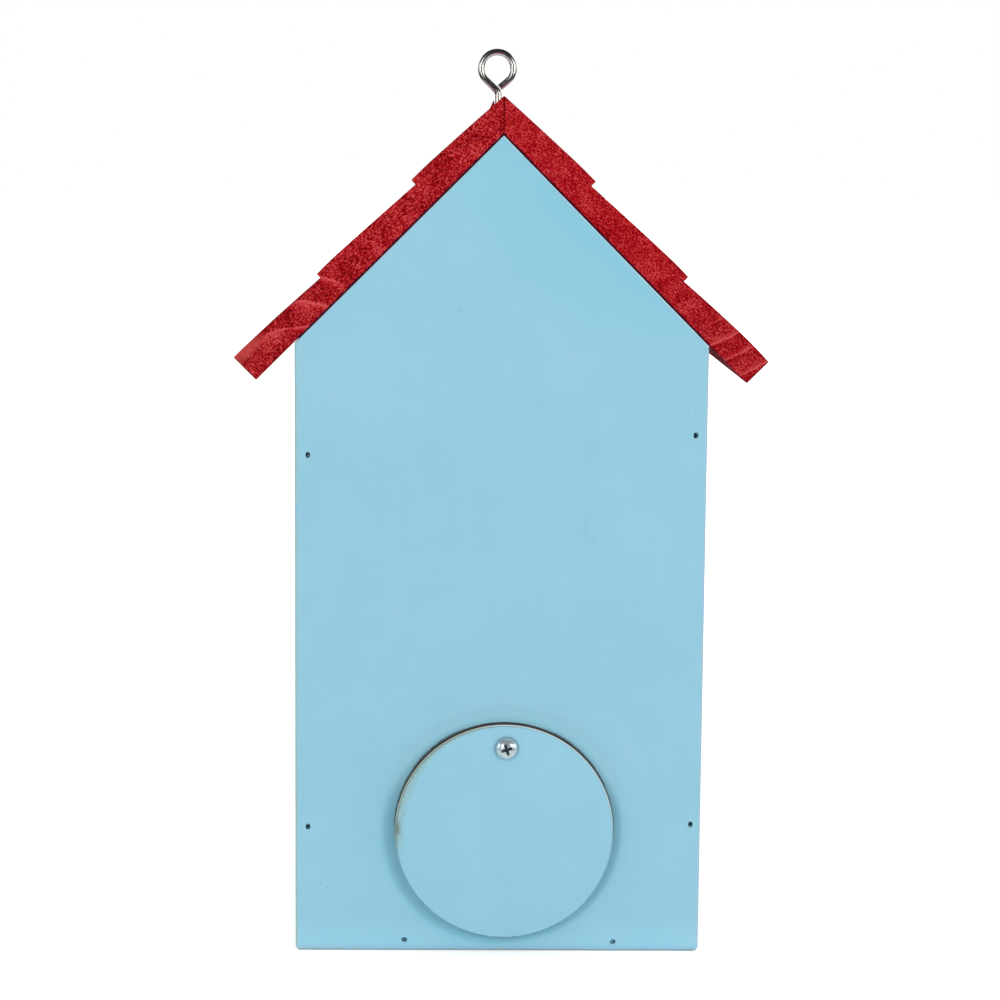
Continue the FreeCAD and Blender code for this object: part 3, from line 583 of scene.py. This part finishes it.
    # where the board sits on the panel its lower arris is black: painted shade of the gap, with pooled stain
    seat_shadow_and_stain = g.mul(arris(g, [y_front, y_back, n], 0.55, g.mul(rag, 0.5)), g.smooth(g.absm(g.x), HW - 1.0, HW + 2.0, 1.0, 0.45))
    colour = g.mix(g.mul(seat_shadow_and_stain, 0.95), colour, srgb(44, 8, 34))
    rag3 = g.addm(g.mul(g.sub(g.noise(q, 0.22, 5.0, 0.75), 0.5), 3.2), 1.15)
    rub = g.smooth(arris(g, [y_front, y_back, eave, top], 0.9, rag3), 0.25, 0.8)
    colour = g.mix(g.mul(rub, 0.55), colour, srgb(204, 110, 92))
    # under each course the top face is darker in the corner of the step
    crease = g.addm(g.mul(g.smooth(g.sub(s, STEP_1), -0.3, 0.0), g.smooth(g.sub(s, STEP_1), 0.3, 1.5, 1.0, 0.0)),
                    g.mul(g.smooth(g.sub(s, STEP_2), -0.3, 0.0), g.smooth(g.sub(s, STEP_2), 0.3, 1.5, 1.0, 0.0)))
    crease = g.mul(crease, g.smooth(top, 0.25, 0.6, 1.0, 0.0), g.sub(1.0, end))
    colour = g.mix(g.mul(crease, 0.6), colour, srgb(70, 8, 12))
    # the joint at the ridge is dark with stain
    ridge = g.smooth(g.absm(g.x), 0.10, 0.55, 1.0, 0.0)
    colour = g.mix(g.mul(ridge, g.smooth(n, 0.0, 4.0, 0.10, 0.28)), colour, srgb(92, 4, 10))

    # the stain took a little thinner towards the ridge
    thin, deep = (1.06, 0.99) if sign > 0 else (1.09, 0.96)
    colour = g.gain(colour, g.smooth(s, 55.0, 90.0, thin, deep))

    height = g.addm(g.mul(speck, g.mixf(end, 0.05, 0.10)), g.mul(fibre, 0.03), g.mul(pores, g.mixf(end, -0.03, -0.06)),
                    g.mul(late, g.mixf(end, 0.05, 0.03)), g.mul(blotch, 0.05), g.mul(streak, g.mixf(end, 0.08, 0.0)))
    rough = g.addm(0.62, g.mul(g.sub(speck, 0.5), 0.22), g.mul(late, -0.08), g.mul(end, 0.12))
    return g.finish(colour, rough, g.bump(height), specular=0.04)


red_right = red_roof("red_stain_right", 1.0, (98.0, -8.6), 8.2, 0.06, (69.0, 99.0), 0.0)
red_left = red_roof("red_stain_left", -1.0, (37.6, 23.6), 6.2, 0.42, (88.0, 200.0), 57.0)


# ------------------------------------------------------------- hatch plywood
def hatch_material():
    g = Graph("hatch_plywood")
    dx, dz = g.sub(g.x, DISC_X), g.sub(g.z, DISC_Z)
    r = g.math("SQRT", g.addm(g.mul(dx, dx), g.mul(dz, dz)))
    inward = g.sub(DISC_R, r)
    y_out = g.sub(DISC_HI.y, g.y)
    y_in = g.sub(g.y, DISC_LO.y)
    p = g.scaled(g.p, 1, 1, 1, 400.0, 80.0, 21.0)

    lines = g.noise(g.scaled(p, 1.3, 1.3, 0.03), 1.0, 4.0, 0.6, 0.2)
    stipple = g.noise(p, 2.6, 2.0, 0.5)
    fine = g.noise(p, 9.0, 2.0, 0.6)
    mottle = g.noise(p, 0.045, 3.0, 0.6)
    mottle2 = g.noise(p, 0.18, 3.0, 0.55)
    d = g.mul(g.cells(p, 0.10), 10.0)
    pin = g.smooth(d, 0.10, 0.42, 1.0, 0.0)
    colour = g.mix(g.smooth(mottle, 0.36, 0.64), srgb(148, 205, 226), srgb(152, 207, 228))
    colour = g.mix(g.smooth(mottle2, 0.45, 0.75, 0.0, 0.5), colour, BLUE_WARM)
    colour = g.gain(colour, g.addm(0.99, g.mul(g.sub(lines, 0.5), 0.030), g.mul(g.sub(stipple, 0.5), 0.018), g.mul(g.sub(fine, 0.5), 0.016)))
    colour = g.mix(g.mul(pin, 0.5), colour, srgb(70, 112, 126))

    # smoke stain from the laser, at the rim and mostly on the +X side
    u, v = g.mul(dx, 1.0 / DISC_R), g.mul(dz, 1.0 / DISC_R)
    side = g.addm(g.mul(dx, 1.0 / DISC_R), g.mul(dz, 0.22 / DISC_R))
    cloud = g.noise(p, 0.22, 4.0, 0.6)
    spread = g.addm(1.6, g.mul(g.smooth(side, 0.55, 1.0), 2.6), g.mul(g.sub(cloud, 0.5), 4.2))
    smoke = g.mul(g.smooth(inward, 0.2, spread, 1.0, 0.0), g.smooth(side, 0.12, 0.80, 0.0, 1.0),
                  g.smooth(v, -0.28, -0.02))
    smoke = g.mul(smoke, g.ramp(g.noise(p, 0.9, 3.0, 0.7), 0.30, 0.62, 0.45, 1.0))
    colour = g.mix(g.mul(smoke, 0.52), colour, srgb(140, 158, 118))
    hot = g.mul(g.smooth(g.absm(g.addm(dz, -0.9)), 0.6, 3.4, 1.0, 0.0), g.smooth(g.sub(DISC_R, g.mul(dx, 1.0)), 0.3, 2.8, 1.0, 0.0))
    hot = g.mul(hot, g.ramp(g.noise(p, 0.8, 3.0, 0.6), 0.25, 0.60, 0.45, 1.0))
    colour = g.mix(g.mul(hot, 0.80), colour, srgb(84, 84, 52))
    # a thin scorched line just inside the rim, broken up, strongest at upper left of the back view
    rim_w = g.addm(0.66, g.mul(g.sub(g.noise(p, 0.9, 3.0, 0.7), 0.5), 0.8))
    line = g.mul(g.smooth(inward, 0.34, 0.48), g.smooth(inward, rim_w, g.addm(rim_w, 0.30), 1.0, 0.0))
    upper = g.smooth(g.addm(g.mul(dx, 0.75 / DISC_R), g.mul(dz, 0.60 / DISC_R)), 0.15, 0.85, 0.18, 1.0)
    colour = g.mix(g.mul(line, upper, g.smooth(v, -0.30, -0.04), 0.60), colour, srgb(112, 112, 88))

    # the cut edge: burnt, with the plies' lines in it
    # (the lower part of its front arris isn't burnt: it takes the lip's colour there, painted shade)
    edge = g.mul(g.smooth(inward, 0.02, 0.16, 1.0, 0.0),
                 g.sub(1.0, g.mul(g.smooth(v, 0.02, -0.20, 0.0, 0.97), g.smooth(y_out, 0.5, 0.9, 1.0, 0.0))))
    ply = g.math("FRACT", g.mul(y_in, 1.0 / 1.36))
    glue = g.mul(g.smooth(ply, 0.40, 0.47), g.smooth(ply, 0.53, 0.60, 1.0, 0.0))
    char = g.noise(g.vec(g.mul(dx, 1.3), g.mul(g.y, 0.5), g.mul(dz, 1.3)), 1.0, 4.0, 0.65)
    burnt = g.mix(g.smooth(char, 0.30, 0.75), srgb(38, 24, 18), srgb(98, 62, 38))
    burnt = g.mix(g.mul(glue, 0.75), burnt, srgb(20, 14, 12))
    burnt = g.mix(g.mul(g.smooth(g.noise(p, 0.35, 3.0), 0.62, 0.78), 0.35), burnt, srgb(140, 100, 62))
    colour = g.mix(edge, colour, burnt)
    # the chamfered lip: pale above where the paint was sanded through, with painted highlight brighter on the -X side;
    # teal and darker below, painted shade
    lip = g.mul(g.smooth(inward, 0.06, 0.12), g.smooth(inward, 0.34, 0.44, 1.0, 0.0))
    pale = g.mix(g.smooth(u, 0.05, 0.45), srgb(208, 214, 210), srgb(168, 172, 162))
    pale = g.mix(g.smooth(v, 0.28, -0.12, 0.0, 1.0), pale, srgb(104, 152, 168))
    pale = g.mix(g.smooth(v, -0.80, -0.95, 0.0, 1.0), pale, srgb(70, 116, 134))
    colour = g.mix(g.mul(lip, g.ramp(g.noise(p, 0.6, 2.0), 0.35, 0.65, 0.55, 0.95)), colour, pale)

    # the back face was never painted: pale ply, smoked round the rim
    wood, wood_h = bare_wood(g, "z", p)
    back = g.smooth(y_in, 0.05, 0.22, 1.0, 0.0)
    scorch = g.addm(g.smooth(inward, 0.3, 4.5, 0.85, 0.0), g.mul(g.smooth(cloud, 0.5, 0.8), 0.12))
    raw = g.mix(scorch, wood, srgb(92, 60, 36))
    colour = g.mix(back, colour, raw)
    # a darker ring at the edge of the screw head, and the drilled hole
    ex, ez = g.sub(g.x, PIVOT_X), g.sub(g.z, PIVOT_Z)
    e = g.math("SQRT", g.addm(g.mul(ex, ex), g.mul(ez, ez)))
    hole = g.smooth(e, 1.86, 1.95, 1.0, 0.0)
    colour = g.mix(hole, colour, srgb(120, 92, 62))
    head_ring = g.mul(g.smooth(e, 3.3, 3.5), g.smooth(e, 3.6, 4.3, 1.0, 0.0))
    colour = g.mix(g.mul(head_ring, 0.28), colour, srgb(92, 130, 142))

    height = g.addm(g.mul(lines, 0.030), g.mul(stipple, 0.012), g.mul(fine, 0.003), g.mul(pin, -0.08),
                    g.mul(edge, char, 0.08), g.mul(edge, glue, -0.05), g.mul(back, wood_h, 1.2), g.mul(hot, -0.02))
    rough = g.mixf(edge, g.addm(0.50, g.mul(g.sub(mottle2, 0.5), 0.16), g.mul(smoke, 0.12)), 0.72)
    rough = g.mixf(back, rough, 0.78)
    return g.finish(colour, rough, g.bump(height), specular=0.38)


hatch_mat = hatch_material()


# ---------------------------------------------------------------------- metals
def zinc_screw():
    g = Graph("zinc_screw")
    ex, ez = g.sub(g.x, PIVOT_X), g.sub(g.z, PIVOT_Z)
    r = g.math("SQRT", g.addm(g.mul(ex, ex), g.mul(ez, ez)))
    out = g.sub(g.y, SCREW_HI.y)                      # 0 at the top of the dome, negative below
    # turning marks: fine rings round the screw's own axis
    rings = g.noise(g.vec(g.mul(r, 9.0), g.mul(out, 9.0), 0.0), 1.0, 3.0, 0.6)
    grain = g.noise(g.p, 5.0, 4.0, 0.65)
    cloud = g.noise(g.p, 0.9, 3.0, 0.6)
    colour = g.mix(g.smooth(cloud, 0.35, 0.7), srgb(216, 230, 235), srgb(194, 208, 215))
    # painted shade in the cross, where the driver went in, and in the corner under the rim
    fold = g.smooth(g.addm(out, g.mul(g.mul(r, r), 0.10)), -0.55, -0.16, 1.0, 0.0)
    recess = g.mul(fold, g.smooth(r, 2.0, 2.5, 1.0, 0.0))
    colour = g.mix(g.mul(recess, g.ramp(g.noise(g.p, 1.6, 3.0, 0.6), 0.35, 0.60, 0.96, 0.70)), colour, srgb(14, 26, 32))
    # painted reflection: the rim of the head, low by the disc, is coloured dark blue like the blue paint round it
    skirt = g.smooth(out, -1.75, -1.45, 1.0, 0.0)
    colour = g.mix(g.mul(skirt, 0.72), colour, srgb(76, 106, 124))
    spot = g.smooth(g.noise(g.p, 1.8, 4.0, 0.7), 0.60, 0.72)
    colour = g.mix(g.mul(spot, 0.35), colour, srgb(120, 112, 100))
    rust = g.mul(g.smooth(g.noise(g.p, 1.2, 5.0, 0.7), 0.66, 0.74), g.smooth(out, -2.4, -1.2, 1.0, 0.1))
    colour = g.mix(g.mul(rust, 0.20), colour, srgb(120, 78, 48))
    height = g.addm(g.mul(rings, 0.010), g.mul(grain, 0.010), g.mul(spot, -0.006))
    rough = g.addm(0.20, g.mul(g.sub(grain, 0.5), 0.18), g.mul(spot, 0.12), g.mul(recess, 0.20))
    return g.finish(colour, rough, g.bump(height), metallic=g.mixf(recess, 0.62, 0.35), specular=0.3)


def eye_wire():
    g = Graph("bright_wire")
    # draw marks run along the wire; the loop's own angle and radius follow it
    cx, cz = g.addm(g.x, -1.06), g.addm(g.z, -283.0)
    r = g.math("SQRT", g.addm(g.mul(cx, cx), g.mul(cz, cz)))
    draw = g.noise(g.vec(g.mul(r, 7.0), g.mul(g.y, 7.0), g.mul(g.math("ARCTAN2", cz, cx), 0.6)), 1.0, 3.0, 0.6)
    grain = g.noise(g.p, 4.0, 4.0, 0.65)
    cloud = g.noise(g.p, 0.55, 3.0, 0.6)
    colour = g.mix(g.smooth(cloud, 0.35, 0.7), srgb(206, 204, 198), srgb(178, 176, 172))
    tarnish = g.smooth(g.noise(g.p, 1.4, 5.0, 0.7), 0.56, 0.74)
    colour = g.mix(g.mul(tarnish, 0.32), colour, srgb(116, 108, 98))
    # red stain crept up the shank where it enters the wood
    foot = g.smooth(g.addm(g.z, g.mul(g.noise(g.p, 1.1, 3.0), -1.6)), 269.6, 271.6, 1.0, 0.0)
    colour = g.mix(g.mul(foot, 0.7), colour, srgb(96, 30, 28))
    # painted reflection: a pale, matt band inside the top of the loop
    rub = g.mul(g.smooth(g.addm(r, g.mul(g.sub(grain, 0.5), 0.22)), 4.86, 5.06, 1.0, 0.0), g.smooth(cz, 0.8, 2.6))
    # the same painted reflection on the undersides of the two legs
    under = g.addm(g.mul(g.absm(cx), 0.642), g.mul(cz, -0.767), -5.40)
    under = g.mul(g.smooth(g.addm(under, g.mul(g.sub(grain, 0.5), 0.22)), 0.62, 0.84), g.smooth(g.z, 275.7, 276.3),
                  g.smooth(cz, -3.4, -2.4, 1.0, 0.0))
    rub = g.addm(rub, g.mul(under, 0.8))
    colour = g.mix(rub, colour, srgb(208, 214, 226))
    height = g.addm(g.mul(draw, 0.006), g.mul(grain, 0.005), g.mul(tarnish, -0.004), g.mul(rub, g.mul(grain, 0.008)))
    rough = g.addm(0.15, g.mul(g.sub(draw, 0.5), 0.10), g.mul(tarnish, 0.16), g.mul(foot, 0.3), g.mul(rub, 0.35))
    metal = g.mul(g.mixf(foot, 1.0, 0.5), g.mixf(rub, 1.0, 0.05))
    return g.finish(colour, rough, g.bump(height), metallic=metal, specular=0.5)


def brad_metal():
    g = Graph("brad_steel")
    grain = g.noise(g.p, 3.0, 4.0, 0.7)
    dirt_and_shade = g.smooth(g.noise(g.p, 1.1, 4.0, 0.65), 0.38, 0.62)
    # painted shade: the heads sit down in their slots, so the steel is coloured dark blue-black, varied by dirt, with
    # flecks of blue paint over it
    colour = g.mix(dirt_and_shade, srgb(24, 50, 62), srgb(4, 28, 42))
    paint = g.math("MAXIMUM", g.smooth(g.noise(g.p, 1.1, 2.0, 0.5), 0.47, 0.58),
                   g.mul(g.smooth(g.noise(g.p, 1.5, 2.0, 0.5), 0.42, 0.52), g.smooth(g.z, 8.0, 12.0, 1.0, 0.0)))
    colour = g.mix(g.mul(paint, 0.70), colour, srgb(120, 176, 196))
    height = g.addm(g.mul(grain, 0.05), g.mul(paint, 0.05))
    rough = g.addm(0.45, g.mul(dirt_and_shade, 0.25), g.mul(g.sub(grain, 0.5), 0.2))
    metal = g.mul(g.mixf(dirt_and_shade, 0.8, 0.4), g.sub(1.0, paint))
    return g.finish(colour, rough, g.bump(height), metallic=metal, specular=0.4)


zinc, wire_mat, brad_mat = zinc_screw(), eye_wire(), brad_metal()


# ----------------------------------------------------------------- perch dowel
def perch_material():
    lo, hi = mm_box("perch_dowel")
    cz = (lo.z + hi.z) / 2
    rr = (hi.z - lo.z) / 2

    def planes(g):
        dz = g.sub(g.z, cz)
        r = g.math("SQRT", g.addm(g.mul(g.x, g.x), g.mul(dz, dz)))
        return [g.sub(rr, r), g.sub(g.y, lo.y)]
    return blue_paint("blue_paint_perch", "y", planes, seed=311.0)


perch_mat = perch_material()


def dress(name, material):
    obj = nodes[name]
    obj.data.materials.clear()
    obj.data.materials.append(material)


for name, material in (("back_panel", back_mat), ("front_panel", front_mat),
                       ("left_side_wall", side_mat), ("right_side_wall", side_mat),
                       ("floor_board", floor_mat), ("roof_board_right", red_right),
                       ("roof_board_left", red_left), ("hatch_disc", hatch_mat),
                       ("hatch_screw", zinc), ("eye_screw", wire_mat),
                       ("perch_dowel", perch_mat), ("rear_brads", brad_mat),
                       ("front_brads", brad_mat), ("roof_brads_left", brad_mat),
                       ("roof_brads_right", brad_mat)):
    dress(name, material)


# ------------------------------------------------- wood raised by the screw eye
def splinter():
    """A sliver of the right board that stood up where the eye went in."""
    rows = [  # height, half width across the slope, half thickness, centre x, centre y (mm)
        (266.5, 0.85, 1.10, 2.75, -13.0), (269.6, 0.80, 1.00, 2.65, -13.0), (270.6, 0.62, 0.85, 2.50, -13.05),
        (271.3, 0.42, 0.62, 2.42, -12.95), (271.9, 0.26, 0.36, 2.22, -13.0), (272.3, 0.07, 0.10, 2.12, -12.95)]
    bm = bmesh.new()
    rings = []
    for k, (z, w, t, cx, cy) in enumerate(rows):
        ring = []
        for j in range(10):
            a = 2 * math.pi * j / 10
            wob = 1.0 + 0.16 * math.sin(3.1 * j + 1.7 * k)
            ring.append(bm.verts.new(((cx + w * wob * math.cos(a)) / 1000.0, (cy + t * wob * math.sin(a)) / 1000.0,
                                      (z + LIFT.z) / 1000.0)))
        rings.append(ring)
    for lower, upper in zip(rings, rings[1:]):
        for j in range(10):
            bm.faces.new((lower[j], lower[(j + 1) % 10], upper[(j + 1) % 10], upper[j]))
    bm.faces.new(list(reversed(rings[0])))
    bm.faces.new(rings[-1])
    mesh = bpy.data.meshes.new("eye_splinter")
    bm.to_mesh(mesh)
    bm.free()
    obj = bpy.data.objects.new("eye_splinter", mesh)
    bpy.context.scene.collection.objects.link(obj)
    obj.data.materials.append(red_right)
    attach(obj, "house")


splinter()


# --------------------------------------------------------------- studio, camera
def area(name, where, target, size, power, colour=(1, 1, 1)):
    data = bpy.data.lights.new(name, "AREA")
    data.shape = "RECTANGLE"
    data.size, data.size_y = size
    data.energy = power
    data.color = colour
    obj = bpy.data.objects.new(name, data)
    bpy.context.scene.collection.objects.link(obj)
    obj.location = where
    obj.rotation_euler = (Vector(target) - Vector(where)).to_track_quat("-Z", "Y").to_euler()
    return obj


MID = (0.0, 0.0, 0.14)
area("softbox_right", (-0.88, 1.06, 0.31), MID, (0.50, 0.95), 5.9)
area("softbox_left", (0.64, 1.20, 0.31), MID, (0.50, 0.95), 4.9)
area("softbox_front_a", (0.95, -1.15, 0.75), MID, (0.8, 0.9), 4.5)
area("softbox_front_b", (-1.05, -1.05, 0.70), MID, (0.8, 0.9), 3.8)
area("softbox_top", (0.0, -0.1, 1.55), MID, (1.2, 1.2), 3.7).visible_glossy = False

for name, where in (("card_right", (-1.35, 0.35, 0.30)), ("card_left", (1.35, 0.40, 0.30))):
    card = area(name, where, MID, (0.85, 0.95), 4.2)
    card.visible_diffuse = False

world = bpy.data.worlds.new("studio")
bpy.context.scene.world = world
world.use_nodes = True
wt = world.node_tree
wt.nodes.clear()
bg = wt.nodes.new("ShaderNodeBackground")
bg.inputs["Color"].default_value = (1.0, 1.0, 1.0, 1.0)
bg.inputs["Strength"].default_value = 0.495
seen = wt.nodes.new("ShaderNodeBackground")
seen.inputs["Color"].default_value = (1.0, 1.0, 1.0, 1.0)
seen.inputs["Strength"].default_value = 1.0
shine = wt.nodes.new("ShaderNodeBackground")
shine.inputs["Color"].default_value = (0.85, 0.92, 1.0, 1.0)
shine.inputs["Strength"].default_value = 0.05
path = wt.nodes.new("ShaderNodeLightPath")
mix1, mix2 = wt.nodes.new("ShaderNodeMixShader"), wt.nodes.new("ShaderNodeMixShader")
out = wt.nodes.new("ShaderNodeOutputWorld")
wt.links.new(path.outputs["Is Glossy Ray"], mix1.inputs[0])
wt.links.new(bg.outputs[0], mix1.inputs[1])
wt.links.new(shine.outputs[0], mix1.inputs[2])
wt.links.new(path.outputs["Is Camera Ray"], mix2.inputs[0])
wt.links.new(mix1.outputs[0], mix2.inputs[1])
wt.links.new(seen.outputs[0], mix2.inputs[2])
wt.links.new(mix2.outputs[0], out.inputs["Surface"])

# the floor: a plain pale sheet
bm = bmesh.new()
bmesh.ops.create_circle(bm, cap_ends=True, segments=96, radius=14.0)
mesh = bpy.data.meshes.new("studio_floor")
bm.to_mesh(mesh)
bm.free()
floor_obj = bpy.data.objects.new("studio_floor", mesh)
floor_obj.location = (0, 0, -0.0001)
bpy.context.scene.collection.objects.link(floor_obj)
g = Graph("studio_floor")
paper = g.noise(g.p, 0.02, 3.0, 0.5)
floor_obj.data.materials.append(
    g.finish(g.mix(g.mul(paper, 0.3), (0.93, 0.93, 0.93), (0.90, 0.90, 0.90)), 0.85, specular=0.1))
# the sheet is overexposed in the picture, more so away from the house, so that it
# runs into the white background with no line at the horizon; it lights nothing
sheet = next(n for n in g.tree.nodes if n.type == "BSDF_PRINCIPLED")
sheet.inputs["Emission Color"].default_value = (1.0, 1.0, 1.0, 1.0)
reach = g.math("SQRT", g.addm(g.mul(g.x, g.x), g.mul(g.y, g.y)))
rays = g.add("ShaderNodeLightPath")
g.put(sheet.inputs["Emission Strength"],
      g.mul(g.smooth(reach, 60.0, 1000.0, 0.52, 1.0), rays.outputs["Is Camera Ray"]))
# in reflections only the lit part of the sheet, close by, is bright
dim = g.add("ShaderNodeEmission")
dim.inputs["Color"].default_value = (1.0, 1.0, 1.0, 1.0)
g.put(dim.inputs["Strength"], g.smooth(reach, 150.0, 520.0, 0.80, 0.07))
blend = g.add("ShaderNodeMixShader")
g.put(blend.inputs[0], rays.outputs["Is Glossy Ray"])
top = next(n for n in g.tree.nodes if n.type == "OUTPUT_MATERIAL")
g.tree.links.new(sheet.outputs[0], blend.inputs[1])
g.tree.links.new(dim.outputs[0], blend.inputs[2])
g.tree.links.new(blend.outputs[0], top.inputs["Surface"])

scene = bpy.context.scene
scene.view_settings.view_transform = "Standard"
scene.view_settings.look = "None"
scene.view_settings.exposure = 0.0
scene.view_settings.gamma = 1.0

cam_data = bpy.data.cameras.new("camera")
cam_data.sensor_width = 36.0
cam_data.sensor_fit = "HORIZONTAL"
cam_data.lens = 93.6
cam_data.clip_start = 0.01
cam_data.clip_end = 60.0
camera = bpy.data.objects.new("camera", cam_data)
scene.collection.objects.link(camera)
yaw, pitch, roll = math.radians(-1.094), math.radians(7.634), math.radians(0.497)
r_yaw = Matrix(((math.cos(yaw), 0, math.sin(yaw)), (0, 1, 0), (-math.sin(yaw), 0, math.cos(yaw))))
r_pitch = Matrix(((1, 0, 0), (0, math.cos(pitch), -math.sin(pitch)), (0, math.sin(pitch), math.cos(pitch))))
r_roll = Matrix(((math.cos(roll), -math.sin(roll), 0), (math.sin(roll), math.cos(roll), 0), (0, 0, 1)))
look = r_roll @ r_pitch @ r_yaw
turn = Matrix(((-1, 0, 0), (0, 0, -1), (0, -1, 0)))
right, down, ahead = (turn @ Vector(look[i]) for i in range(3))
pose = Matrix((right, -down, -ahead)).transposed().to_4x4()
pose.translation = Vector((0.01578, Y_BACK / 1000.0 + 0.81316, 0.25592))
camera.matrix_world = pose
scene.camera = camera
